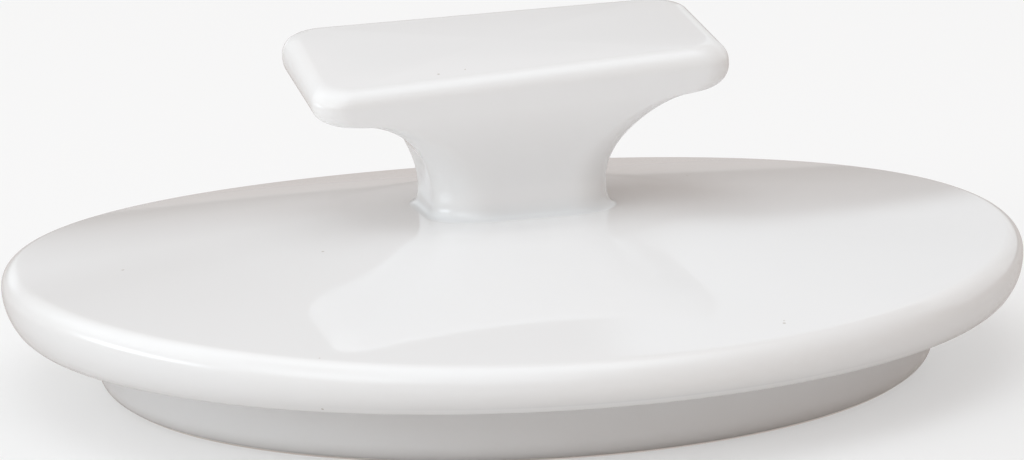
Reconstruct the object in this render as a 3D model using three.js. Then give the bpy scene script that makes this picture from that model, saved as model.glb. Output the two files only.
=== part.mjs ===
// A round porcelain lid with a domed plate, a locating flange below it and a T-bar handle on top.
// Millimetres, +Z up. The origin is the centre of the ring that the lid stands on.
// X runs along the handle's bar and -Y is the side that the bar leans to.

import * as THREE from 'three';
import { LoftGeometry } from 'three/addons/geometries/LoftGeometry.js';

// Plate
const rimRadius = 50;             // widest line of the rim
const rimUndercut = 1.9;          // how far the rim draws in below its widest line
const rimDepth = 3.7;             // widest line down to the seating ledge
const rimFlank = 2.1;             // upright part of that depth, before it draws in
const rimRound = 1.6;             // rounding from the side of the rim to its top
const rimSaddle = 0.87;           // rise of the rim at the bar's ends, and its drop in front and behind
const crownSlope = THREE.MathUtils.degToRad(7.5);
const crownBlend = 4;             // curve between the slope and the handle's flat seat
const plateWall = 4.6;            // thickness of the plate over the hollow
const seatMargin = 0.9;           // flat seat left around the handle's foot

// Locating flange
const ledgeWidth = 6.6;           // part of the underside that rests on a bowl's lip
const flangeHeight = 6.5;         // ledge down to the foot of the flange
const flangeWall = 4.4;
const flangeDraft = 0.2;          // how much narrower the flange is at its foot
const flangeOuterRound = 2;       // roundings of its foot
const flangeInnerRound = 0.8;
const socketDepth = 0.6;          // how far the flange is let into the plate
const socketClearance = 0.3;      // round the flange in that socket

// Handle
const handleHeight = 16.1;        // seat to the middle of the bar's top
const footHeight = 1.7;
const footFlare = 1;              // how far the foot stands out around the stem
const footEdge = 0.4;             // upright edge of the foot
const stemLength = 17.3;
const stemDepth = 15;
const stemCorner = 4.5;
const stemStraight = 0.1;         // upright part of the stem below the coves
const barLength = 41.3;
const barDepth = 19.7;
const barCorner = 3;
const barTip = 3.8;               // thickness of an arm at its tip
const armSlope = THREE.MathUtils.degToRad(6.8);
const tipLowerRound = 1.9;
const tipUpperRound = 1.8;
const faceRound = 1.6;            // rounding between the bar's top and its long faces
const faceCoveStart = 2.9;        // height where the long faces begin to swell out to the bar
const barCant = THREE.MathUtils.degToRad(9.6);
const barTilt = THREE.MathUtils.degToRad(1.6);
const barTwist = THREE.MathUtils.degToRad(2.2);   // change of cant from the middle to an end
const coveSplit = THREE.MathUtils.degToRad(50);  // share of the cove that belongs to the stem

// Fineness of the facets
const turnSegments = 72;
const curveSteps = 4;
const cornerSteps = 6;

// Heights and radii that follow from the sizes above
const ledgeZ = flangeHeight;
const socketZ = ledgeZ + socketDepth;
const rimZ = ledgeZ + rimDepth;
const ledgeOuter = rimRadius - rimUndercut;
const socketRadius = ledgeOuter - ledgeWidth;
const flangeOuter = socketRadius - socketClearance;
const flangeInner = flangeOuter - flangeWall;

const stemHalf = stemLength / 2;
const stemHalfDepth = stemDepth / 2;
const barHalf = barLength / 2;
const barHalfDepth = barDepth / 2;

const footCorner = stemCorner + footFlare;
const footReach = footCorner + Math.hypot(
  stemHalf + footFlare - footCorner,
  stemHalfDepth + footFlare - footCorner,
);
const seatRadius = footReach + seatMargin;
const slopeStart = seatRadius + crownBlend;
const rimTop = new THREE.Vector2(
  rimRadius - rimRound * (1 - Math.sin(crownSlope)),
  rimZ + rimRound * Math.cos(crownSlope),
);
const seatZ = rimTop.y + (rimTop.x - slopeStart) * Math.tan(crownSlope);

// Each arm's underside is a straight slope, and the cove touches both the slope and the stem.
// Heights in the handle are counted from the seat.
const tipHeight = handleHeight - barTip;
const coveHeight = footHeight + stemStraight;
const coveRise = tipHeight - coveHeight - (barHalf - stemHalf) * Math.tan(armSlope);
const coveRadius = coveRise * Math.cos(armSlope) / (1 - Math.sin(armSlope));
const coveX = stemHalf + coveRadius;
const splitAngle = Math.PI - coveSplit;
const splitHeight = coveHeight + coveRadius * Math.sin(coveSplit);

const glaze = { color: 0xf1efec, roughness: 0.12, metalness: 0 };

function ceramic() {
  return new THREE.MeshStandardMaterial(glaze);
}

// A solid of revolution about Z from an outline of radius and height.
function turned(name, outline) {
  const geometry = new THREE.LatheGeometry(outline.getPoints(curveSteps), turnSegments);
  geometry.rotateX(Math.PI / 2);
  const mesh = new THREE.Mesh(geometry, ceramic());
  mesh.name = name;
  return mesh;
}

// The rim rises towards the bar's ends and drops in front and behind.
// The handle's seat, the socket and the ledge stay level.
function saddled(mesh) {
  const place = mesh.geometry.getAttribute('position');
  for (let index = 0; index < place.count; index += 1) {
    const x = place.getX(index);
    const y = place.getY(index);
    const z = place.getZ(index);
    const radius = Math.hypot(x, y);
    if (radius > seatRadius) {
      const out = (radius - seatRadius) / (rimRadius - seatRadius);
      const up = THREE.MathUtils.clamp((z - socketZ) / (rimZ - socketZ), 0, 1);
      const swing = (x ** 2 - y ** 2) / radius ** 2;
      place.setZ(index, z + rimSaddle * out ** 2 * up * swing);
    }
  }
  return mesh;
}

// The crown is a straight slope that runs out level at the handle's seat.
// The underside follows it at the plate's thickness.
function lidPlate() {
  const slopeReach = crownBlend * Math.cos(crownSlope);
  const slopeDrop = crownBlend * Math.sin(crownSlope);
  const hollowTop = seatZ - plateWall;
  const hollowEdge = hollowTop - (flangeInner - slopeStart) * Math.tan(crownSlope);
  const outline = new THREE.Path();
  outline.moveTo(0, hollowTop);
  outline.lineTo(seatRadius, hollowTop);
  outline.quadraticCurveTo(slopeStart, hollowTop, slopeStart + slopeReach, hollowTop - slopeDrop);
  outline.lineTo(flangeInner, hollowEdge);
  outline.lineTo(flangeInner, socketZ);
  outline.lineTo(socketRadius, socketZ);
  outline.lineTo(socketRadius, ledgeZ);
  outline.lineTo(ledgeOuter, ledgeZ);
  outline.quadraticCurveTo(rimRadius, rimZ - rimFlank, rimRadius, rimZ);
  outline.absarc(rimRadius - rimRound, rimZ, rimRound, 0, Math.PI / 2 - crownSlope, false);
  outline.lineTo(slopeStart + slopeReach, seatZ - slopeDrop);
  outline.quadraticCurveTo(slopeStart, seatZ, seatRadius, seatZ);
  outline.lineTo(0, seatZ);
  return saddled(turned('lid_plate', outline));
}

// An open ring with a slight draft outside and a rounded foot, let into the plate's socket.
function locatingFlange() {
  const footOuter = flangeOuter - flangeDraft;
  const outline = new THREE.Path();
  outline.moveTo(flangeInner, socketZ);
  outline.lineTo(flangeInner, flangeInnerRound);
  outline.absarc(
    flangeInner + flangeInnerRound,
    flangeInnerRound,
    flangeInnerRound,
    Math.PI,
    Math.PI * 1.5,
    false,
  );
  outline.absarc(
    footOuter - flangeOuterRound,
    flangeOuterRound,
    flangeOuterRound,
    Math.PI * 1.5,
    Math.PI * 2,
    false,
  );
  outline.lineTo(flangeOuter, socketZ);
  outline.lineTo(flangeInner, socketZ);
  return turned('locating_flange', outline);
}

// A ring of a rounded rectangle at a height above the seat. The lean grows evenly from nothing
// at the seat to its full angles at the top, and the twist grows above the stem only.
function ring(halfLength, halfDepth, corner, height) {
  const lean = height / handleHeight;
  const turn = Math.max(0, height - splitHeight) / (handleHeight - splitHeight);
  const points = [];
  for (let quarter = 0; quarter < 4; quarter += 1) {
    const signX = quarter === 0 || quarter === 3 ? 1 : -1;
    const signY = quarter < 2 ? 1 : -1;
    for (let step = 0; step <= cornerSteps; step += 1) {
      const angle = (quarter + step / cornerSteps) * Math.PI / 2;
      const x = signX * (halfLength - corner) + corner * Math.cos(angle);
      const y = signY * (halfDepth - corner) + corner * Math.sin(angle);
      const cant = lean * Math.tan(barCant) - turn * Math.tan(barTwist) * x / barHalf;
      const tilt = lean * Math.tan(barTilt);
      points.push(new THREE.Vector3(x, y, seatZ + height + y * cant + x * tilt));
    }
  }
  return points;
}

function lofted(name, rings) {
  const geometry = new LoftGeometry(rings, { capStart: true, capEnd: true });
  const mesh = new THREE.Mesh(geometry, ceramic());
  mesh.name = name;
  return mesh;
}

// How far the long faces have swollen from the stem (0) to the bar (1) at a height.
function swell(height) {
  return THREE.MathUtils.smoothstep(height, faceCoveStart, handleHeight - barTip);
}

// The long faces' half depth, with the rounding at the bar's top.
function faceDepth(height) {
  const depth = THREE.MathUtils.lerp(stemHalfDepth, barHalfDepth, swell(height));
  const into = THREE.MathUtils.clamp(height - handleHeight + faceRound, 0, faceRound);
  return depth - faceRound + Math.sqrt(faceRound ** 2 - into ** 2);
}

// Rings along an outline of half length and height.
function handleRings(outline) {
  return outline.getPoints(curveSteps).map((point) => {
    const corner = THREE.MathUtils.lerp(stemCorner, barCorner, swell(point.y));
    return ring(point.x, faceDepth(point.y), corner, point.y);
  });
}

function handleFoot() {
  const outline = new THREE.Path();
  outline.moveTo(footFlare, 0);
  outline.lineTo(footFlare, footEdge);
  outline.quadraticCurveTo(0, footEdge, 0, footHeight);
  const rings = outline.getPoints(curveSteps).map((point) => ring(
    stemHalf + point.x,
    stemHalfDepth + point.x,
    stemCorner + point.x,
    point.y,
  ));
  return lofted('handle_foot', rings);
}

function handleStem() {
  const outline = new THREE.Path();
  outline.moveTo(stemHalf, footHeight);
  outline.lineTo(stemHalf, coveHeight);
  outline.absarc(coveX, coveHeight, coveRadius, Math.PI, splitAngle, true);
  return lofted('handle_stem', handleRings(outline));
}

function handleBar() {
  const lowerReach = tipLowerRound * Math.tan((Math.PI / 2 - armSlope) / 2);
  const outline = new THREE.Path();
  outline.absarc(coveX, coveHeight, coveRadius, splitAngle, Math.PI / 2 + armSlope, true);
  outline.absarc(
    barHalf - tipLowerRound,
    tipHeight + lowerReach,
    tipLowerRound,
    armSlope - Math.PI / 2,
    0,
    false,
  );
  outline.absarc(
    barHalf - tipUpperRound,
    handleHeight - tipUpperRound,
    tipUpperRound,
    0,
    Math.PI / 2,
    false,
  );
  return lofted('handle_bar', handleRings(outline));
}

const lid = new THREE.Group();
lid.name = 'porcelain_lid';
lid.add(lidPlate(), locatingFlange(), handleFoot(), handleStem(), handleBar());

export default lid;
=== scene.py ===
"""Looks of a round glazed porcelain lid with a T-bar handle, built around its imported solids.

Every piece is a surface worked out on a grid, in metres, in the frame of the solids.
"""

from math import cos, pi, radians, sin, tan

import bpy
import numpy as np
from bpy.props import FloatProperty, FloatVectorProperty, PointerProperty
from mathutils import Matrix, Vector


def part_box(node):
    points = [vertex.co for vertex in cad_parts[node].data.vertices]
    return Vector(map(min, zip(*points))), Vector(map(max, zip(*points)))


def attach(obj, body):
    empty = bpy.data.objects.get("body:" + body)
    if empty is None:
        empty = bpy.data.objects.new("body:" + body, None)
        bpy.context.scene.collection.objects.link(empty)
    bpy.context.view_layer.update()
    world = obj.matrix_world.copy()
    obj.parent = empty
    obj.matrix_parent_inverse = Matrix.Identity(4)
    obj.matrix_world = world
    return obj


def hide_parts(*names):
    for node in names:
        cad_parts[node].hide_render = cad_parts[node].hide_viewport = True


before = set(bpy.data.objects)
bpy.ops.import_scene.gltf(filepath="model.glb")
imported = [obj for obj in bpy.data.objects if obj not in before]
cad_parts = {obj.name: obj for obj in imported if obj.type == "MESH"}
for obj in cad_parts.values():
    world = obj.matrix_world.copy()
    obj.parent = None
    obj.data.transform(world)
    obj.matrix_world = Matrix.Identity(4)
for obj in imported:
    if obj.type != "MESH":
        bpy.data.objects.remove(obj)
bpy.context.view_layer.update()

bl_info = {
    "name": "Porcelain Lid",
    "version": (1, 0, 0),
    "blender": (4, 5, 0),
    "location": "View3D > Sidebar > Lid",
    "description": "Glazed surfaces, floor and light for a porcelain lid with a T-bar handle",
    "category": "Add Mesh",
}

BODY = "root"

MM = 0.001
SAME_POINT = 1e-9
TINY_LENGTH = 1e-18
TINY_SQUARE = 1e-14
SHARP_EDGE = radians(38)
HOLLOW_REACH = 2.2

# Steps round a turned piece, and round a corner and along the sides of the handle's rings
TURN_STEPS = 288
CORNER_STEPS = 16
LONG_STEPS = 44
SHORT_STEPS = 20
TOP_RINGS = 26
SMALLEST_RING = 0.02

# Small lengths: the rings that close a top in its middle, the least step before a rounding,
# how far a hidden edge reaches into its neighbour, and the floor under the standing ring
CENTRE_GAP = 0.02 * MM
ROUNDING_GAP = 0.05 * MM
LEDGE_LAP = 0.02 * MM
HIDDEN_LAP = 0.1 * MM
FLOOR_DROP = 0.05 * MM

# Curvature is multiplied by these to give the glaze's masks, which are softened over some rows
TURNED_REACH = 1.2 * MM
HANDLE_REACH = 1.3 * MM
SPREAD_ROWS = 3

# Heights between which the standing ring changes from bare to glazed
BARE_BELOW = 0.05 * MM
GLAZED_ABOVE = 0.5 * MM

# Cells of specks and ripples of each piece's glaze, a metre
GLAZES = {
    "plate_glaze": (330.0, 130.0),
    "flange_glaze": (330.0, 140.0),
    "handle_glaze": (360.0, 160.0),
}
GLAZE_IOR = 1.5

# Noise in the glaze, the bare body and the floor, in waves a metre
MOTTLE_WAVES = 38.0
HAZE_WAVES = 95.0
PEEL_WAVES = 900.0
RAGGED_WAVES = 420.0
GRAIN_WAVES = 2600.0
FLOOR_WAVES = 9.0

# Ranges of noise and what they become: low, high, value at low, value at high
POOL_RANGE = (0.2, 0.7, 0.55, 0.9)
MOTTLE_RANGE = (0.45, 0.85, 0.0, 0.14)
WEAR_RANGE = (0.3, 0.7, 0.3, 0.8)
HAZE_RANGE = (0.4, 0.8, 0.0, 0.025)
BARE_RANGE = (0.62, 0.74, 0.0, 1.0)
FLOOR_RANGE = (0.3, 0.7, 0.0, 0.03)

# Shares of the smaller effects
SPECK_TONE = 0.6
WEAR_HAZE = 0.03
PEEL_HEIGHT = 0.012
PIT_HEIGHT = -0.3
RAGGED_SHARE = 0.35
DUST_SHARE = 0.25
TOOTH_HEIGHT = 0.8

# The floor from front to back: how white the camera sees it, and how much of a painted dim glow the
# gloss sees in its place
WHITE_RANGE = (-60 * MM, 100 * MM, 0.6, 1.0)
DIM_RANGE = (-60 * MM, 60 * MM, 0.5, 0.85)
FLOOR_GREY = (0.8, 0.8, 0.8, 1)
SWEEP = {"half_width": 3.0, "front": 3.0, "back": 3.0, "height": 2.0, "radius": 0.8}
SWEEP_COLUMNS = 25

# Camera
SENSOR_WIDTH = 36.0
LENS = 179.09
SHIFT_X = 0.0009
SHIFT_Y = 0.0088

PLATE_LOW, PLATE_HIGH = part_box("lid_plate")
FLANGE_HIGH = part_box("locating_flange")[1]
BAR_LOW, BAR_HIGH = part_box("handle_bar")


# Properties


def length(name, description, default):
    """A length property in metres."""
    return FloatProperty(
        name=name,
        description=description,
        default=default,
        min=0.0,
        precision=5,
        subtype="DISTANCE",
        unit="LENGTH",
    )


def angle(name, description, degrees):
    """An angle property, written in degrees."""
    return FloatProperty(
        name=name,
        description=description,
        default=radians(degrees),
        subtype="ANGLE",
        unit="ROTATION",
    )


def share(name, description, default, highest=1.0):
    """A plain number from 0."""
    return FloatProperty(
        name=name, description=description, default=default, min=0.0, max=highest, precision=4
    )


def colour(name, description, default):
    """A linear colour."""
    return FloatVectorProperty(
        name=name,
        description=description,
        default=default,
        size=3,
        min=0.0,
        max=1.0,
        subtype="COLOR",
    )


class PlateSizes(bpy.types.PropertyGroup):
    rim_radius: length("Rim radius", "Widest line of the rim", PLATE_HIGH.x)
    rim_undercut: length("Rim undercut", "How far the rim draws in below", 1.9 * MM)
    rim_depth: length("Rim depth", "Widest line down to the ledge", 3.3 * MM)
    rim_flank: length("Rim flank", "Upright part of that depth", 1.9 * MM)
    rim_round: length("Rim rounding", "Side of the rim to its top", 2.0 * MM)
    rim_saddle: length("Rim saddle", "Rise of the rim at the bar's ends", 0.87 * MM)
    crown_slope: angle("Crown slope", "Fall of the top towards the rim", 7.5)
    crown_blend: length("Crown blend", "Curve between the seat and the slope", 4.0 * MM)
    wall: length("Wall", "Thickness over the hollow", 4.6 * MM)
    seat_radius: length("Seat radius", "Flat seat under the handle", 11.521 * MM)
    ledge_height: length("Ledge height", "Height of the seating ledge", PLATE_LOW.z)
    ledge_width: length("Ledge width", "Part of the underside outside the flange", 6.6 * MM)
    ledge_round: length("Ledge rounding", "Rounding of the ledge's outer edge", 0.5 * MM)
    hollow_round: length("Hollow rounding", "Curve between the hollow and its wall", 3.0 * MM)


class FlangeSizes(bpy.types.PropertyGroup):
    outer_radius: length("Outer radius", "Outside of the flange at its root", FLANGE_HIGH.x)
    top_height: length("Top height", "Top of the flange, inside the plate", FLANGE_HIGH.z)
    wall: length("Wall", "Thickness of the flange", 4.4 * MM)
    draft: length("Draft", "How much narrower the flange is at its foot", 0.2 * MM)
    outer_round: length("Outer rounding", "Rounding of the foot outside", 2.0 * MM)
    inner_round: length("Inner rounding", "Rounding of the foot inside", 0.8 * MM)
    root_round: length("Root rounding", "Glaze fillet between flange and ledge", 0.9 * MM)


class HandleSizes(bpy.types.PropertyGroup):
    height: length("Height", "Seat to the middle of the bar's top", 16.1 * MM)
    foot_height: length("Foot height", "Height of the flared foot", 1.7 * MM)
    foot_flare: length("Foot flare", "How far the foot stands out", 1.2 * MM)
    foot_sink: length("Foot sink", "How far the foot runs out below the seat", 0.062 * MM)
    stem_length: length("Stem length", "Stem along the bar", 17.3 * MM)
    stem_depth: length("Stem depth", "Stem across the bar", 15.0 * MM)
    stem_corner: length("Stem corner", "Corner rounding of the stem", 4.5 * MM)
    stem_straight: length("Stem straight", "Upright part below the coves", 0.1 * MM)
    bar_length: length("Bar length", "Bar from tip to tip", BAR_HIGH.x - BAR_LOW.x)
    bar_depth: length("Bar depth", "Bar across its long faces", BAR_HIGH.y - BAR_LOW.y)
    bar_corner: length("Bar corner", "Corner rounding of the bar", 3.0 * MM)
    bar_tip: length("Bar tip", "Thickness of an arm at its tip", 3.8 * MM)
    arm_slope: angle("Arm slope", "Slope of an arm's underside", 6.8)
    tip_lower_round: length("Tip lower rounding", "Lower edge of a tip", 1.9 * MM)
    tip_upper_round: length("Tip upper rounding", "Upper edge of a tip", 1.8 * MM)
    face_round: length("Face rounding", "Top to a long face", 1.6 * MM)
    crown: length("Crown", "Rise of the bar's top in its middle", 0.22 * MM)
    cove_start: length("Cove start", "Height where the long faces swell out", 2.9 * MM)
    cant: angle("Cant", "Lean of the bar's top to the front", 9.6)
    tilt: angle("Tilt", "Rise of the bar to its right end", 1.6)
    twist: angle("Twist", "Change of cant from the middle to an end", 2.2)
    aside: length("Aside", "How far the foot stands to the right of the bar's middle", 0.3 * MM)
    cove_split: angle("Cove split", "Share of the cove that belongs to the stem", 50.0)


class GlazeFinish(bpy.types.PropertyGroup):
    body: colour("Body", "White porcelain under clear glaze", (0.86, 0.855, 0.85))
    pooled: colour("Pooled", "Thick glaze in hollows", (0.79, 0.81, 0.815))
    thin: colour("Thin", "Thin glaze over edges", (0.875, 0.86, 0.84))
    bare: colour("Bare", "Unglazed body of the standing ring", (0.80, 0.765, 0.72))
    speck: colour("Speck", "Iron specks in the body", (0.42, 0.36, 0.30))
    roughness: share("Roughness", "Gloss of the glaze", 0.05)
    bare_roughness: share("Bare roughness", "Tooth of the unglazed body", 0.62)
    ripple: length("Ripple", "Height of the glaze's slow waves", 0.006 * MM)


class StageLook(bpy.types.PropertyGroup):
    floor: colour("Floor", "Plain pale floor", (0.80, 0.79, 0.78))
    white: share("White", "How far the camera sees the floor as white", 0.7)
    pool: length("Pool", "How far that white reaches round the lid", 600.0 * MM)
    opening: length("Opening", "Floor left open under the hollow", 39.5 * MM)
    air: colour("Air", "Even light from all round", (0.4996, 0.4455, 0.4182))
    glow: colour("Glow", "Colour of the lamps", (0.842, 0.937, 1.0))
    light: share("Light", "Strength of all the lamps", 1.0, 10.0)
    azimuth: angle("Azimuth", "Camera round the lid, from the front", -12.93)
    elevation: angle("Elevation", "Camera above the table", 11.62)
    roll: angle("Roll", "Turn of the camera about its own axis", -2.246)
    distance: length("Distance", "Camera to the middle of the lid", 500.0 * MM)
    aim: length("Aim", "Height that the camera looks at", 12.5 * MM)


# Soft lamps round the lid: azimuth from the front and elevation in degrees, width and height in
# metres, how far from the middle the glow stays level as a share of them, and power in watts
LAMPS = {
    "key_light": (-32.0, 43.0, 1.40, 1.10, 0.1, 2.11),
    "left_light": (-58.0, 28.0, 1.00, 0.70, 0.1, 0.93),
    "side_strip": (-100.0, 9.0, 0.95, 0.30, 0.1, 1.32),
    "left_back_light": (-122.0, 40.0, 1.35, 0.95, 0.1, 0.98),
    "left_high_light": (-150.0, 62.0, 0.80, 0.65, 0.1, 0.37),
    "right_panel": (128.0, 21.0, 1.10, 0.60, 0.46, 0.89),
    "back_low_light": (-172.0, 9.0, 0.50, 0.28, 0.1, 0.09),
    "top_light": (0.0, 85.0, 1.20, 1.20, 0.1, 2.64),
}
LAMP_DISTANCE = 0.9


# Outlines, as arrays of points


def line(start, end, steps):
    """Points on a straight line, at equal steps from start to end."""
    return np.linspace(start, end, steps + 1)


def arc(centre, radius, begin, end, steps):
    """Points on a circle: the centre plus the radius times (cos a, sin a), a from begin to end."""
    a = np.linspace(begin, end, steps + 1)
    return np.column_stack((centre[0] + radius * np.cos(a), centre[1] + radius * np.sin(a)))


def bend(start, corner, end, steps):
    """Points on a quadratic curve that leaves start towards corner and reaches end from it."""
    t = np.linspace(0.0, 1.0, steps + 1)[:, None]
    first = (1 - t) ** 2 * np.array(start)
    return first + 2 * t * (1 - t) * np.array(corner) + t ** 2 * np.array(end)


def fillet(before, corner, after, radius, steps):
    """Points on the circle of that radius that touches both lines of a corner."""
    before, corner, after = (np.array(p, float) for p in (before, corner, after))
    a = (before - corner) / np.linalg.norm(before - corner)
    b = (after - corner) / np.linalg.norm(after - corner)
    half = 0.5 * np.arccos(np.clip(a @ b, -1, 1))
    middle = (a + b) / np.linalg.norm(a + b)
    centre = corner + middle * radius / np.sin(half)
    start = corner + a * radius / np.tan(half) - centre
    end = corner + b * radius / np.tan(half) - centre
    begin = np.arctan2(start[1], start[0])
    sweep = (np.arctan2(end[1], end[0]) - begin + pi) % (2 * pi) - pi
    return arc(centre, radius, begin, begin + sweep, steps)


def chain(*runs):
    """One outline from several runs, without the points that repeat the one before."""
    points = np.concatenate(runs)
    gaps = np.linalg.norm(np.diff(points, axis=0), axis=1)
    return points[np.concatenate(([True], gaps > SAME_POINT))]


def smoothstep(value, low, high):
    """0 below low, 1 above high, and 3tt - 2ttt between them."""
    t = np.clip((value - low) / (high - low), 0.0, 1.0)
    return t * t * (3 - 2 * t)


# Grids and meshes


def revolve(outline):
    """A grid from an outline of radius and height, turned about Z: (r cos a, r sin a, z)."""
    a = np.arange(TURN_STEPS) * 2 * pi / TURN_STEPS
    grid = np.empty((len(outline), TURN_STEPS, 3))
    grid[..., 0] = outline[:, :1] * np.cos(a)
    grid[..., 1] = outline[:, :1] * np.sin(a)
    grid[..., 2] = outline[:, 1:]
    return grid


def saddled(grid, sizes, level):
    """The rim lifted by saddle cos 2a at its edge, less towards the seat and down to a level height."""
    x, y, z = np.moveaxis(grid, -1, 0)
    radius = np.maximum(np.hypot(x, y), SAME_POINT)
    out = np.maximum(radius - sizes.seat_radius, 0.0) / (sizes.rim_radius - sizes.seat_radius)
    rim = sizes.ledge_height + sizes.rim_depth
    up = np.clip((z - level) / (rim - level), 0.0, 1.0)
    swing = (x ** 2 - y ** 2) / radius ** 2
    return np.stack((x, y, z + sizes.rim_saddle * out ** 2 * up * swing), -1)


def slopes(grid, closed):
    """Differences between the neighbours along the rows' axis and round the columns."""
    if closed:
        along = np.roll(grid, -1, 0) - np.roll(grid, 1, 0)
    else:
        along = np.gradient(grid, axis=0)
    return along, np.roll(grid, -1, 1) - np.roll(grid, 1, 1)


def grid_normals(grid, closed, inside):
    """Unit cross products of the two slopes, turned to point away from the inside."""
    along, around = slopes(grid, closed)
    normals = np.cross(along, around)
    size = np.linalg.norm(normals, axis=-1, keepdims=True)
    normals = normals / np.maximum(size, TINY_LENGTH)
    return -normals if inside else normals


def bending(grid, normals, closed):
    """Curvature along and round a grid, in 1/m: change of normal on change of place, convex above 0."""
    found = []
    for step, turn in zip(slopes(grid, closed), slopes(normals, closed)):
        found.append((step * turn).sum(-1) / np.maximum((step * step).sum(-1), TINY_SQUARE))
    return found


def glaze_masks(grid, normals, closed, tight):
    """How thin the glaze is on convex edges and how it pools in hollows: curvature times tight."""
    along, around = bending(grid, normals, closed)
    thin = np.clip(np.maximum(along, around) * tight, 0.0, 1.0)
    pool = np.clip(-np.minimum(along, around) * tight, 0.0, 1.0)
    return {"thin": spread(thin), "pool": spread(pool)}


def spread(mask):
    """A mask softened by a running mean of each row and its neighbours to both sides."""
    wide = np.pad(mask, ((SPREAD_ROWS, SPREAD_ROWS), (0, 0)), mode="edge")
    rows, count = len(mask), 2 * SPREAD_ROWS + 1
    return sum(wide[k:k + rows] for k in range(count)) / count


def grid_faces(rows, columns, closed):
    """Corner numbers of a grid's four-sided faces, closed round the columns."""
    i = np.arange(rows if closed else rows - 1)[:, None]
    j = np.arange(columns)[None, :]
    k = (j + 1) % columns
    below = (i + 1) % rows
    corners = (i * columns + j, below * columns + j, below * columns + k, i * columns + k)
    return np.stack(np.broadcast_arrays(*corners), -1).reshape(-1, 4)


def fan_faces(first, columns, pole, ending):
    """Corner numbers of the triangles between a ring and the point that closes it."""
    j = np.arange(columns)
    k = (j + 1) % columns
    point = np.full(columns, pole)
    order = (first + j, point, first + k) if ending else (point, first + j, first + k)
    return np.stack(order, -1)


def inside_out(points, faces):
    """Whether the faces enclose a negative volume, summed over tetrahedra from the origin."""
    total = 0.0
    for group in faces:
        a, b, c = (points[group[:, n]] for n in range(3))
        total += (a * np.cross(b, c)).sum()
        if group.shape[1] == 4:
            d = points[group[:, 3]]
            total += (a * np.cross(c, d)).sum()
    return total < 0


def make_piece(name, grid, masks, closed=False, normals=None, flat_ends=(False, False)):
    """A mesh object from a grid: a ring of rings where closed, or ends drawn to a point each."""
    rows, columns = grid.shape[:2]
    points = grid.reshape(-1, 3)
    values = {key: mask.reshape(-1) for key, mask in masks.items()}
    faces = [grid_faces(rows, columns, closed)]
    if not closed:
        count = len(points)
        points = np.concatenate((points, grid[:1].mean(1), grid[-1:].mean(1)))
        values = {
            key: np.concatenate((v, mask[:1].mean(1), mask[-1:].mean(1)))
            for (key, mask), v in zip(masks.items(), values.values())
        }
        faces.append(fan_faces(0, columns, count, False))
        faces.append(fan_faces(count - columns, columns, count + 1, True))
    if inside_out(points, faces):
        faces = [group[:, ::-1] for group in faces]
    corners = np.concatenate([group.reshape(-1) for group in faces])
    totals = np.concatenate([np.full(len(group), group.shape[1]) for group in faces])
    starts = np.concatenate(([0], np.cumsum(totals)[:-1]))
    mesh = bpy.data.meshes.new(name)
    mesh.vertices.add(len(points))
    mesh.vertices.foreach_set("co", points.astype(np.float32).reshape(-1))
    mesh.loops.add(len(corners))
    mesh.loops.foreach_set("vertex_index", corners.astype(np.int32))
    mesh.polygons.add(len(totals))
    mesh.polygons.foreach_set("loop_start", starts.astype(np.int32))
    mesh.polygons.foreach_set("loop_total", totals.astype(np.int32))
    for key, value in values.items():
        layer = mesh.attributes.new(key, "FLOAT", "POINT")
        layer.data.foreach_set("value", value.astype(np.float32))
    mesh.update(calc_edges=True)
    if mesh.validate():
        raise RuntimeError(f"{name}: the mesh had faults")
    mesh.shade_smooth()
    if normals is None:
        mesh.set_sharp_from_angle(angle=SHARP_EDGE)
    else:
        mesh.normals_split_custom_set(corner_normals(points, normals, faces, flat_ends))
    piece = bpy.data.objects.new(name, mesh)
    bpy.context.scene.collection.objects.link(piece)
    return piece


def corner_normals(points, normals, faces, flat_ends):
    """Each face corner's normal: the grid's own, or the flat one of an end that a neighbour covers."""
    flat = normals.reshape(-1, 3)
    ends = np.stack((normals[0].mean(0), normals[-1].mean(0)))
    ends /= np.linalg.norm(ends, axis=-1, keepdims=True)
    flat = np.concatenate((flat, ends))
    found = [flat[faces[0]].reshape(-1, 3)]
    for group, level in zip(faces[1:], flat_ends):
        a, b, c = (points[group[:, n]] for n in range(3))
        face = np.cross(b - a, c - a)
        face /= np.maximum(np.linalg.norm(face, axis=-1, keepdims=True), TINY_LENGTH)
        cap = np.repeat(face, 3, axis=0)
        found.append(cap if level else flat[group].reshape(-1, 3))
    return np.concatenate(found)


# Pieces


def crown_height(radius, sizes):
    """Height of the top: level at the seat, then a slope whose start is a smoothstep's integral."""
    reach = sizes.crown_blend * (1 + cos(sizes.crown_slope))
    t = np.clip((radius - sizes.seat_radius) / reach, 0.0, 1.0)
    bent = reach * (t ** 3 - t ** 4 / 2)
    beyond = np.maximum(radius - sizes.seat_radius - reach, 0.0)
    return -tan(sizes.crown_slope) * (bent + beyond)


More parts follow.
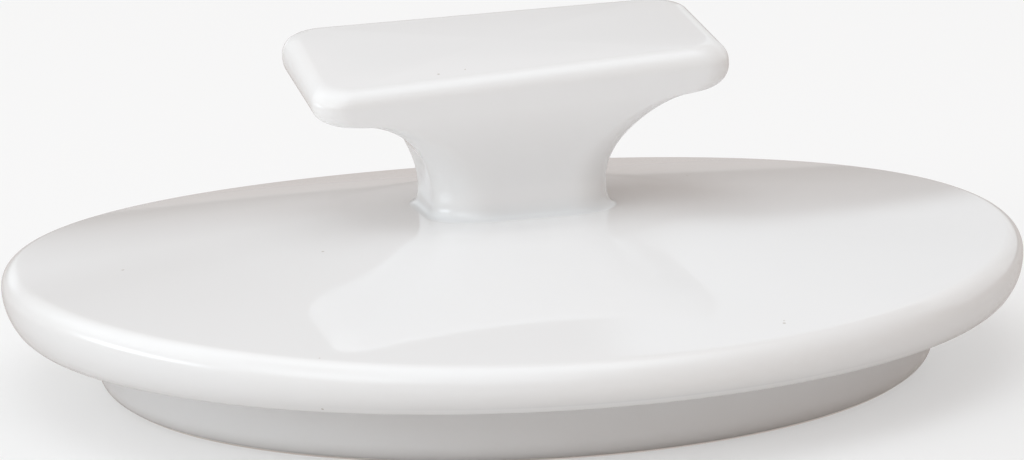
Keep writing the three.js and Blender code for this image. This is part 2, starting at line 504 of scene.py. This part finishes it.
def plate_outline(sizes, flange):
    """Radius and height from the middle of the top, round the rim and ledge, to under the hollow."""
    slope = sizes.crown_slope
    rim_z = sizes.ledge_height + sizes.rim_depth
    rim_centre = (sizes.rim_radius - sizes.rim_round, rim_z)
    rim_top = rim_centre[0] + sizes.rim_round * sin(slope)
    top_radius = np.linspace(CENTRE_GAP, rim_top, 110)
    fall = crown_height(top_radius, sizes)
    rim_top_z = rim_z + sizes.rim_round * cos(slope)
    top = np.column_stack((top_radius, rim_top_z + fall - fall[-1]))
    rounding = arc(rim_centre, sizes.rim_round, pi / 2 - slope, 0.0, 20)
    ledge_outer = sizes.rim_radius - sizes.rim_undercut
    edge = (ledge_outer, sizes.ledge_height)
    turn = (sizes.rim_radius, rim_z - sizes.rim_flank)
    flank = bend((sizes.rim_radius, rim_z), turn, edge, 40)
    socket = ledge_outer - sizes.ledge_width
    ledge_end = (socket, sizes.ledge_height)
    approach = flank[-9]
    edge_round = fillet(approach, edge, ledge_end, sizes.ledge_round, 10)
    keep = flank[:, 0] > edge_round[0, 0] + ROUNDING_GAP
    ledge = line(edge_round[-1], ledge_end, 12)
    inner = flange.outer_radius - flange.wall
    step = chain(
        line(ledge_end, (socket, flange.top_height), 2),
        line((socket, flange.top_height), (inner, flange.top_height), 4),
    )
    below = top[:, 1] - sizes.wall
    wall_top = (inner, np.interp(inner, top_radius, below))
    wide = top_radius < inner - HOLLOW_REACH * sizes.hollow_round
    under = np.column_stack((top_radius, below))[wide][::-1]
    hollow = fillet((inner, flange.top_height), wall_top, under[0], sizes.hollow_round, 16)
    rise = line((inner, flange.top_height), hollow[0], 4)
    return chain(top, rounding, flank[keep], edge_round, ledge, step, rise, hollow, under)


def flange_outline(sizes, plate):
    """A closed outline: down the inside, round the foot, up the outside and out to the ledge."""
    inner = sizes.outer_radius - sizes.wall
    foot = sizes.outer_radius - sizes.draft
    inside = line((inner, sizes.top_height), (inner, sizes.inner_round), 12)
    inner_centre = (inner + sizes.inner_round, sizes.inner_round)
    outer_centre = (foot - sizes.outer_round, sizes.outer_round)
    inner_foot = arc(inner_centre, sizes.inner_round, pi, 1.5 * pi, 12)
    outer_foot = arc(outer_centre, sizes.outer_round, 1.5 * pi, 2 * pi, 20)
    sole = line(inner_foot[-1], outer_foot[0], 8)
    ledge = plate.ledge_height + LEDGE_LAP
    root = (sizes.outer_radius, ledge)
    out = (sizes.outer_radius + 4 * sizes.root_round, ledge)
    corner = fillet(outer_foot[-1], root, out, sizes.root_round, 14)
    outside = line(outer_foot[-1], corner[0], 12)
    lap = corner[-1] + np.array((0.0, HIDDEN_LAP))
    hidden = line(lap, (sizes.outer_radius, sizes.top_height), 3)
    top = line(hidden[-1], (inner, sizes.top_height), 4)[:-1]
    return chain(inside, inner_foot, sole, outer_foot, outside, corner, hidden, top)


def handle_outline(sizes):
    """Half length and height above the seat, from the foot up the stem and round an arm's tip."""
    stem, bar = sizes.stem_length / 2, sizes.bar_length / 2
    tip = sizes.height - sizes.bar_tip
    start = sizes.foot_height + sizes.stem_straight
    slope = sizes.arm_slope
    rise = tip - start - (bar - stem) * tan(slope)
    radius = rise * cos(slope) / (1 - sin(slope))
    centre = (stem + radius, start)
    split = pi - sizes.cove_split
    low, high = sizes.tip_lower_round, sizes.tip_upper_round
    root = -sizes.foot_sink
    foot = bend((stem + sizes.foot_flare, root), (stem, root), (stem, sizes.foot_height), 22)
    post = chain(
        line(foot[-1], (stem, start), 2),
        arc(centre, radius, pi, split, 30),
    )
    under = arc(centre, radius, split, pi / 2 + slope, 20)
    lower_centre = (bar - low, tip + low * tan((pi / 2 - slope) / 2))
    lower = arc(lower_centre, low, slope - pi / 2, 0.0, 18)
    upper = arc((bar - high, sizes.height - high), high, 0.0, pi / 2, 18)
    arm = chain(under, line(under[-1], lower[0], 14), lower, line(lower[-1], upper[0], 2), upper)
    return foot, post, arm, start + radius * sin(sizes.cove_split)


def ring_shape():
    """Each point's share of half length, half depth and the corner, round a rounded rectangle."""
    parts = []
    for quarter in range(4):
        a = (quarter + np.arange(CORNER_STEPS) / CORNER_STEPS) * pi / 2
        sign_x, sign_y = (1, -1, -1, 1)[quarter], (1, 1, -1, -1)[quarter]
        ones = np.ones(CORNER_STEPS)
        parts.append(np.stack((sign_x * ones, sign_y * ones, np.cos(a), np.sin(a))))
        steps = (LONG_STEPS, SHORT_STEPS)[quarter % 2]
        t = 1 - 2 * np.arange(steps) / steps
        next_x, next_y = (0, -1, 0, 1)[quarter], (1, 0, -1, 0)[quarter]
        level = np.ones(steps)
        if quarter % 2 == 0:
            parts.append(np.stack((sign_x * t, sign_y * level, next_x * level, next_y * level)))
        else:
            parts.append(np.stack((sign_x * level, sign_y * t, next_x * level, next_y * level)))
    return np.concatenate(parts, axis=1)


def handle_grid(sizes, half, height, spread_out, split):
    """Rounded rectangles up the handle, sheared: z = seat + h + y cant + x tilt, x aside at the foot."""
    swell = smoothstep(height, sizes.cove_start, sizes.height - sizes.bar_tip)
    depth = (sizes.stem_depth + (sizes.bar_depth - sizes.stem_depth) * swell) / 2
    into = np.clip(height - sizes.height + sizes.face_round, 0.0, sizes.face_round)
    depth = depth - sizes.face_round + np.sqrt(sizes.face_round ** 2 - into ** 2) + spread_out
    corner = sizes.stem_corner + (sizes.bar_corner - sizes.stem_corner) * swell + spread_out
    share_x, share_y, corner_x, corner_y = ring_shape()
    x = (half - corner)[:, None] * share_x + corner[:, None] * corner_x
    y = (depth - corner)[:, None] * share_y + corner[:, None] * corner_y
    lean = (height / sizes.height)[:, None]
    x = x + sizes.aside * (1 - lean)
    turn = (np.maximum(0.0, height - split) / (sizes.height - split))[:, None]
    cant = lean * tan(sizes.cant) - turn * tan(sizes.twist) * x / (sizes.bar_length / 2)
    z = PLATE_HIGH.z + height[:, None] + y * cant + x * lean * tan(sizes.tilt)
    return np.stack((x, y, z), -1)


def bar_top(sizes, rim):
    """The bar's top: its last ring drawn in by equal shares t, raised by crown (1 - tt)."""
    t = np.linspace(1.0, SMALLEST_RING, TOP_RINGS)[1:, None]
    x, y = rim[:, 0] * t, rim[:, 1] * t
    cant = tan(sizes.cant) - tan(sizes.twist) * x / (sizes.bar_length / 2)
    crown = sizes.crown * (1 - t ** 2) * np.ones_like(x)
    z = PLATE_HIGH.z + sizes.height + y * cant + x * tan(sizes.tilt) + crown
    return np.stack((x, y, z), -1)


# Materials


def node(tree, kind, inputs=None, **settings):
    """A node with its settings; an input that is given a socket is linked, any other is set."""
    made = tree.nodes.new(kind)
    for key, value in settings.items():
        setattr(made, key, value)
    for key, value in (inputs or {}).items():
        if isinstance(value, bpy.types.NodeSocket):
            tree.links.new(value, made.inputs[key])
        else:
            made.inputs[key].default_value = value
    return made


def maths(tree, operation, first, second=0.0, clamp=False):
    """One sum on values."""
    values = {0: first, 1: second}
    made = node(tree, "ShaderNodeMath", values, operation=operation, use_clamp=clamp)
    return made.outputs[0]


def ranged(tree, value, low, high, to_low=0.0, to_high=1.0):
    """A value mapped from one range to another by a smooth step."""
    made = node(
        tree,
        "ShaderNodeMapRange",
        {"Value": value, "From Min": low, "From Max": high, "To Min": to_low, "To Max": to_high},
        interpolation_type="SMOOTHSTEP",
    )
    return made.outputs["Result"]


def mixed(tree, factor, first, second):
    """Two colours mixed by a factor."""
    made = node(tree, "ShaderNodeMix", data_type="RGBA")
    for number, value in ((0, factor), (6, first), (7, second)):
        if isinstance(value, bpy.types.NodeSocket):
            tree.links.new(value, made.inputs[number])
        else:
            made.inputs[number].default_value = value
    return made.outputs[2]


def noise(tree, place, scale, detail=2.0, rough=0.5):
    """Noise of so many waves a metre, from 0 to 1."""
    made = node(
        tree,
        "ShaderNodeTexNoise",
        {"Vector": place, "Scale": scale, "Detail": detail, "Roughness": rough},
    )
    return made.outputs["Fac"]


def new_group(name, inputs, outputs):
    """An empty shader node group with its named sockets."""
    tree = bpy.data.node_groups.new(name, "ShaderNodeTree")
    for label, kind, default in inputs:
        socket = tree.interface.new_socket(label, in_out="INPUT", socket_type=kind)
        socket.default_value = default
    for label, kind in outputs:
        tree.interface.new_socket(label, in_out="OUTPUT", socket_type=kind)
    return tree, node(tree, "NodeGroupInput").outputs, node(tree, "NodeGroupOutput").inputs


def speck_group():
    """Specks and pinholes: dots at the middles of scattered cells, in a share of the cells."""
    inputs = (
        ("Cells", "NodeSocketFloat", 330.0),
        ("Share", "NodeSocketFloat", 0.16),
        ("Radius", "NodeSocketFloat", 0.05),
    )
    tree, given, out = new_group("kiln_specks", inputs, (("Mask", "NodeSocketFloat"),))
    place = node(tree, "ShaderNodeTexCoord").outputs["Object"]
    cells = node(tree, "ShaderNodeTexVoronoi", {"Vector": place, "Scale": given["Cells"]})
    dot = maths(tree, "LESS_THAN", cells.outputs["Distance"], given["Radius"])
    pick = node(tree, "ShaderNodeSeparateColor", {"Color": cells.outputs["Color"]})
    chosen = maths(tree, "LESS_THAN", pick.outputs["Red"], given["Share"])
    tree.links.new(maths(tree, "MULTIPLY", dot, chosen), out["Mask"])
    return tree


def glaze_group(finish):
    """Clear glaze over porcelain: slow mottling, pooled and thin glaze, a faint ripple and haze."""
    inputs = (
        ("Body", "NodeSocketColor", (*finish.body, 1)),
        ("Pooled", "NodeSocketColor", (*finish.pooled, 1)),
        ("Thin", "NodeSocketColor", (*finish.thin, 1)),
        ("Speck", "NodeSocketColor", (*finish.speck, 1)),
        ("Speck Mask", "NodeSocketFloat", 0.0),
        ("Roughness", "NodeSocketFloat", finish.roughness),
        ("Ripple Waves", "NodeSocketFloat", 150.0),
    )
    outputs = (
        ("Color", "NodeSocketColor"),
        ("Roughness", "NodeSocketFloat"),
        ("Height", "NodeSocketFloat"),
    )
    tree, given, out = new_group("clear_glaze", inputs, outputs)
    place = node(tree, "ShaderNodeTexCoord").outputs["Object"]
    pool = node(tree, "ShaderNodeAttribute", attribute_name="pool").outputs["Fac"]
    thin = node(tree, "ShaderNodeAttribute", attribute_name="thin").outputs["Fac"]
    slow = noise(tree, place, MOTTLE_WAVES, 3.0)
    fine = noise(tree, place, PEEL_WAVES, 2.0)
    pooled = maths(tree, "MULTIPLY", pool, ranged(tree, slow, *POOL_RANGE))
    pooled = maths(tree, "ADD", pooled, ranged(tree, slow, *MOTTLE_RANGE), clamp=True)
    paint = mixed(tree, pooled, given["Body"], given["Pooled"])
    worn = maths(tree, "MULTIPLY", thin, ranged(tree, slow, *WEAR_RANGE))
    paint = mixed(tree, worn, paint, given["Thin"])
    spotted = maths(tree, "MULTIPLY", given["Speck Mask"], SPECK_TONE)
    tree.links.new(mixed(tree, spotted, paint, given["Speck"]), out["Color"])
    haze = ranged(tree, noise(tree, place, HAZE_WAVES, 4.0), *HAZE_RANGE)
    haze = maths(tree, "ADD", haze, maths(tree, "MULTIPLY", worn, WEAR_HAZE))
    tree.links.new(maths(tree, "ADD", given["Roughness"], haze), out["Roughness"])
    wave = noise(tree, place, given["Ripple Waves"], 1.0)
    peel = maths(tree, "MULTIPLY", fine, PEEL_HEIGHT)
    pits = maths(tree, "MULTIPLY", given["Speck Mask"], PIT_HEIGHT)
    height = maths(tree, "ADD", maths(tree, "ADD", wave, peel), pits)
    tree.links.new(height, out["Height"])
    return tree


def shared_group(name, make, *values):
    """A node group made once and found by name afterwards."""
    return bpy.data.node_groups.get(name) or make(*values)


def new_material(name):
    """An empty node material and its output."""
    material = bpy.data.materials.new(name)
    material.use_nodes = True
    material.node_tree.nodes.clear()
    return material, material.node_tree, node(material.node_tree, "ShaderNodeOutputMaterial")


def porcelain(name, finish, bare_foot=False):
    """Glazed porcelain; where asked, the standing ring is left bare with a ragged glaze line."""
    speck_cells, ripple_waves = GLAZES[name]
    material, tree, out = new_material(name)
    specks = node(tree, "ShaderNodeGroup", node_tree=shared_group("kiln_specks", speck_group))
    specks.inputs["Cells"].default_value = speck_cells
    glaze = node(
        tree, "ShaderNodeGroup", node_tree=shared_group("clear_glaze", glaze_group, finish)
    )
    glaze.inputs["Ripple Waves"].default_value = ripple_waves
    tree.links.new(specks.outputs["Mask"], glaze.inputs["Speck Mask"])
    paint, gloss, height = (glaze.outputs[key] for key in ("Color", "Roughness", "Height"))
    if bare_foot:
        place = node(tree, "ShaderNodeTexCoord").outputs["Object"]
        edge = node(tree, "ShaderNodeAttribute", attribute_name="bare").outputs["Fac"]
        ragged = maths(tree, "MULTIPLY", noise(tree, place, RAGGED_WAVES, 3.0), RAGGED_SHARE)
        bare = ranged(tree, maths(tree, "ADD", edge, ragged), *BARE_RANGE)
        grain = noise(tree, place, GRAIN_WAVES, 3.0, 0.7)
        dust = maths(tree, "MULTIPLY", grain, DUST_SHARE)
        dusty = mixed(tree, dust, (*finish.bare, 1), (*finish.body, 1))
        paint = mixed(tree, bare, paint, dusty)
        rough = maths(tree, "MULTIPLY", bare, finish.bare_roughness)
        gloss = maths(tree, "ADD", gloss, rough)
        tooth = maths(tree, "MULTIPLY", maths(tree, "MULTIPLY", bare, grain), TOOTH_HEIGHT)
        height = maths(tree, "ADD", height, tooth)
    relief = {"Height": height, "Distance": finish.ripple, "Strength": 1.0}
    normal = node(tree, "ShaderNodeBump", relief).outputs["Normal"]
    shader = node(
        tree,
        "ShaderNodeBsdfPrincipled",
        {"Base Color": paint, "Roughness": gloss, "Normal": normal, "IOR": GLAZE_IOR},
    )
    tree.links.new(shader.outputs[0], out.inputs["Surface"])
    return material


def floor_material(look):
    """A matt pale floor: whiter for the camera, a painted dim glow in the gloss, open below and under
    the hollow.
    """
    material, tree, out = new_material("pale_floor")
    place = node(tree, "ShaderNodeTexCoord").outputs["Object"]
    away = node(tree, "ShaderNodeVectorMath", {0: place}, operation="LENGTH").outputs["Value"]
    depth = node(tree, "ShaderNodeSeparateXYZ", {0: place}).outputs["Y"]
    path = node(tree, "ShaderNodeLightPath").outputs
    worn = ranged(tree, noise(tree, place, FLOOR_WAVES, 2.0), *FLOOR_RANGE)
    paint = mixed(tree, worn, (*look.floor, 1), FLOOR_GREY)
    matt = node(tree, "ShaderNodeBsdfDiffuse", {"Color": paint})
    white = node(tree, "ShaderNodeEmission", {"Color": (1, 1, 1, 1), "Strength": 1.0})
    dim = node(tree, "ShaderNodeEmission", {"Color": (*look.air, 1), "Strength": 1.0})
    clear = node(tree, "ShaderNodeBsdfTransparent")
    near = ranged(tree, away, look.pool, 2 * look.pool, look.white, 0.0)
    near = maths(tree, "MULTIPLY", near, ranged(tree, depth, *WHITE_RANGE))
    seen = maths(tree, "MULTIPLY", near, path["Is Camera Ray"])
    lit = node(tree, "ShaderNodeMixShader", {0: seen, 1: matt.outputs[0], 2: white.outputs[0]})
    # Glossy rays near the lid see the floor half replaced by a dim glow of the air's colour at the
    # front, more towards the back: a painted reflection that darkens what the glaze mirrors.
    close = ranged(tree, away, look.pool, 2 * look.pool, 1.0, 0.0)
    painted_reflection_share = maths(tree, "MULTIPLY", close, ranged(tree, depth, *DIM_RANGE))
    painted_reflection_share = maths(tree, "MULTIPLY", painted_reflection_share, path["Is Glossy Ray"])
    lit = node(tree, "ShaderNodeMixShader", {0: painted_reflection_share, 1: lit.outputs[0], 2: dim.outputs[0]})
    behind = node(tree, "ShaderNodeNewGeometry").outputs["Backfacing"]
    covered = maths(tree, "LESS_THAN", away, look.opening)
    gone = maths(tree, "MAXIMUM", behind, covered)
    side = node(tree, "ShaderNodeMixShader", {0: gone, 1: lit.outputs[0], 2: clear.outputs[0]})
    tree.links.new(side.outputs[0], out.inputs["Surface"])
    return material


# Operators


def dress(piece, material, *nodes):
    """Gives a piece its finish and its place on the frame."""
    piece.data.materials.append(material)
    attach(piece, BODY)
    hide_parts(*nodes)


class LID_OT_plate(bpy.types.Operator):
    """The domed plate with its rounded rim, seating ledge and hollow"""

    bl_idname = "lid.plate"
    bl_label = "Lid plate"

    def execute(self, context):
        scene = context.scene
        grid = revolve(plate_outline(scene.lid_plate, scene.lid_flange))
        grid = saddled(grid, scene.lid_plate, scene.lid_flange.top_height)
        normals = grid_normals(grid, False, False)
        masks = glaze_masks(grid, normals, False, TURNED_REACH)
        piece = make_piece("lid_plate_glazed", grid, masks)
        dress(piece, porcelain("plate_glaze", scene.lid_finish), "lid_plate")
        return {"FINISHED"}


class LID_OT_flange(bpy.types.Operator):
    """The locating flange with its glazed wall and bare standing ring"""

    bl_idname = "lid.flange"
    bl_label = "Locating flange"

    def execute(self, context):
        scene = context.scene
        grid = revolve(flange_outline(scene.lid_flange, scene.lid_plate))
        normals = grid_normals(grid, True, True)
        masks = glaze_masks(grid, normals, True, TURNED_REACH)
        masks["bare"] = 1 - smoothstep(grid[..., 2], BARE_BELOW, GLAZED_ABOVE)
        piece = make_piece("locating_flange_glazed", grid, masks, closed=True)
        dress(piece, porcelain("flange_glaze", scene.lid_finish, True), "locating_flange")
        return {"FINISHED"}


class LID_OT_handle(bpy.types.Operator):
    """The T-bar handle: its flared foot, waisted stem and canted bar on one smooth surface"""

    bl_idname = "lid.handle"
    bl_label = "Handle"

    def execute(self, context):
        scene = context.scene
        sizes = scene.lid_handle
        foot, post, arm, split = handle_outline(sizes)
        outline = np.concatenate((foot, post[1:], arm[1:]))
        flare = np.maximum(outline[:, 0] - sizes.stem_length / 2, 0.0)
        flare[len(foot):] = 0.0
        grid = handle_grid(sizes, outline[:, 0], outline[:, 1], flare, split)
        grid = np.concatenate((grid, bar_top(sizes, grid[-1])))
        normals = grid_normals(grid, False, True)
        masks = glaze_masks(grid, normals, False, HANDLE_REACH)
        first, second = len(foot) - 1, len(foot) + len(post) - 2
        finish = porcelain("handle_glaze", scene.lid_finish)
        spans = (
            ("handle_foot", 0, first, (True, True)),
            ("handle_stem", first, second, (True, True)),
            ("handle_bar", second, len(grid) - 1, (True, False)),
        )
        for name, low, high, flat_ends in spans:
            rows = slice(low, high + 1)
            piece = make_piece(
                name + "_glazed",
                grid[rows],
                {key: mask[rows] for key, mask in masks.items()},
                normals=normals[rows],
                flat_ends=flat_ends,
            )
            dress(piece, finish, name)
        return {"FINISHED"}


def soft_edges(lamp, level):
    """A lamp's glow: full over a level share, then down to nothing at its edges by a smooth step."""
    lamp.use_nodes = True
    tree = lamp.node_tree
    tree.nodes.clear()
    place = node(tree, "ShaderNodeNewGeometry").outputs["Parametric"]
    sides = node(tree, "ShaderNodeSeparateXYZ", {0: place}).outputs
    shares = []
    for side in ("X", "Y"):
        off = maths(tree, "ABSOLUTE", maths(tree, "SUBTRACT", sides[side], 0.5))
        shares.append(ranged(tree, off, level, 0.5, 1.0, 0.0))
    glow = maths(tree, "DIVIDE", maths(tree, "MULTIPLY", *shares), (level + 0.5) ** 2)
    emission = node(tree, "ShaderNodeEmission", {"Strength": glow})
    out = node(tree, "ShaderNodeOutputLight")
    tree.links.new(emission.outputs[0], out.inputs["Surface"])


def soft_light(name, look):
    """A rectangular soft light of the lamps' table, turned to the lid."""
    azimuth, elevation, width, height, level, power = LAMPS[name]
    a, e = radians(azimuth), radians(elevation)
    lamp = bpy.data.lights.new(name, "AREA")
    lamp.shape = "RECTANGLE"
    lamp.size, lamp.size_y, lamp.energy = width, height, power * look.light
    lamp.color = look.glow
    soft_edges(lamp, level)
    light = bpy.data.objects.new(name, lamp)
    toward = Vector((sin(a) * cos(e), -cos(a) * cos(e), sin(e)))
    light.location = toward * LAMP_DISTANCE + Vector((0, 0, look.aim))
    light.rotation_euler = toward.to_track_quat("Z", "Y").to_euler()
    light.visible_camera = False
    bpy.context.scene.collection.objects.link(light)


def sweep_grid(half_width, front, back, height, radius):
    """A floor that runs back level, curves up on a quarter circle and stands as a wall."""
    outline = chain(
        line((-front, 0.0), (back - radius, 0.0), 24),
        arc((back - radius, radius), radius, -pi / 2, 0.0, 24),
        line((back, radius), (back, height), 8),
    )
    across = np.linspace(half_width, -half_width, SWEEP_COLUMNS)
    grid = np.empty((len(outline), SWEEP_COLUMNS, 3))
    grid[..., 0] = across
    grid[..., 1] = outline[:, :1]
    grid[..., 2] = outline[:, 1:] - FLOOR_DROP
    return grid


class LID_OT_stage(bpy.types.Operator):
    """A plain pale floor, soft light and the camera at the photograph's angle"""

    bl_idname = "lid.stage"
    bl_label = "Stage"

    def execute(self, context):
        scene = context.scene
        look = scene.lid_stage
        self.floor(look)
        for name in LAMPS:
            soft_light(name, look)
        world = scene.world or bpy.data.worlds.new("studio_air")
        scene.world = world
        world.use_nodes = True
        air = world.node_tree.nodes["Background"]
        air.inputs["Color"].default_value = (*look.air, 1)
        air.inputs["Strength"].default_value = 1.0
        scene.view_settings.view_transform = "Standard"
        self.camera(scene, look)
        return {"FINISHED"}

    def floor(self, look):
        """Lays the floor."""
        grid = sweep_grid(**SWEEP)
        rows, columns = grid.shape[:2]
        first = np.arange(rows - 1)[:, None] * columns + np.arange(columns - 1)
        corners = (first + columns, first + columns + 1, first + 1, first)
        faces = np.stack(corners, -1).reshape(-1, 4)
        mesh = bpy.data.meshes.new("floor_sweep")
        mesh.from_pydata(grid.reshape(-1, 3).tolist(), [], faces.tolist())
        mesh.shade_smooth()
        mesh.materials.append(floor_material(look))
        floor = bpy.data.objects.new("floor_sweep", mesh)
        bpy.context.scene.collection.objects.link(floor)

    def camera(self, scene, look):
        """Sets the camera, rolled about its own axis."""
        data = bpy.data.cameras.new("view_camera")
        data.sensor_width = SENSOR_WIDTH
        data.lens = LENS
        data.shift_x = SHIFT_X
        data.shift_y = SHIFT_Y
        camera = bpy.data.objects.new("view_camera", data)
        a, e = look.azimuth, look.elevation
        toward = Vector((sin(a) * cos(e), -cos(a) * cos(e), sin(e)))
        place = toward * look.distance + Vector((0, 0, look.aim))
        turned = toward.to_track_quat("Z", "Y").to_matrix().to_4x4()
        camera.matrix_world = Matrix.Translation(place) @ turned @ Matrix.Rotation(look.roll, 4, "Z")
        scene.collection.objects.link(camera)
        scene.camera = camera


class LID_PT_pieces(bpy.types.Panel):
    """The lid's pieces and stage"""

    bl_idname = "LID_PT_pieces"
    bl_label = "Porcelain lid"
    bl_space_type = "VIEW_3D"
    bl_region_type = "UI"
    bl_category = "Lid"

    def draw(self, context):
        for operator in OPERATORS:
            self.layout.operator(operator.bl_idname)


OPERATORS = (LID_OT_plate, LID_OT_flange, LID_OT_handle, LID_OT_stage)
GROUPS = {
    "lid_plate": PlateSizes,
    "lid_flange": FlangeSizes,
    "lid_handle": HandleSizes,
    "lid_finish": GlazeFinish,
    "lid_stage": StageLook,
}


def register():
    """Makes the properties, operators and panel known."""
    for group in (*GROUPS.values(), *OPERATORS, LID_PT_pieces):
        bpy.utils.register_class(group)
    for name, group in GROUPS.items():
        setattr(bpy.types.Scene, name, PointerProperty(type=group))


def unregister():
    """Takes them out again."""
    for name in GROUPS:
        delattr(bpy.types.Scene, name)
    for group in reversed((*GROUPS.values(), *OPERATORS, LID_PT_pieces)):
        bpy.utils.unregister_class(group)


def main():
    """Builds the pieces and the stage in order."""
    register()
    bpy.ops.lid.plate()
    bpy.ops.lid.flange()
    bpy.ops.lid.handle()
    bpy.ops.lid.stage()


if __name__ == "__main__":
    main()
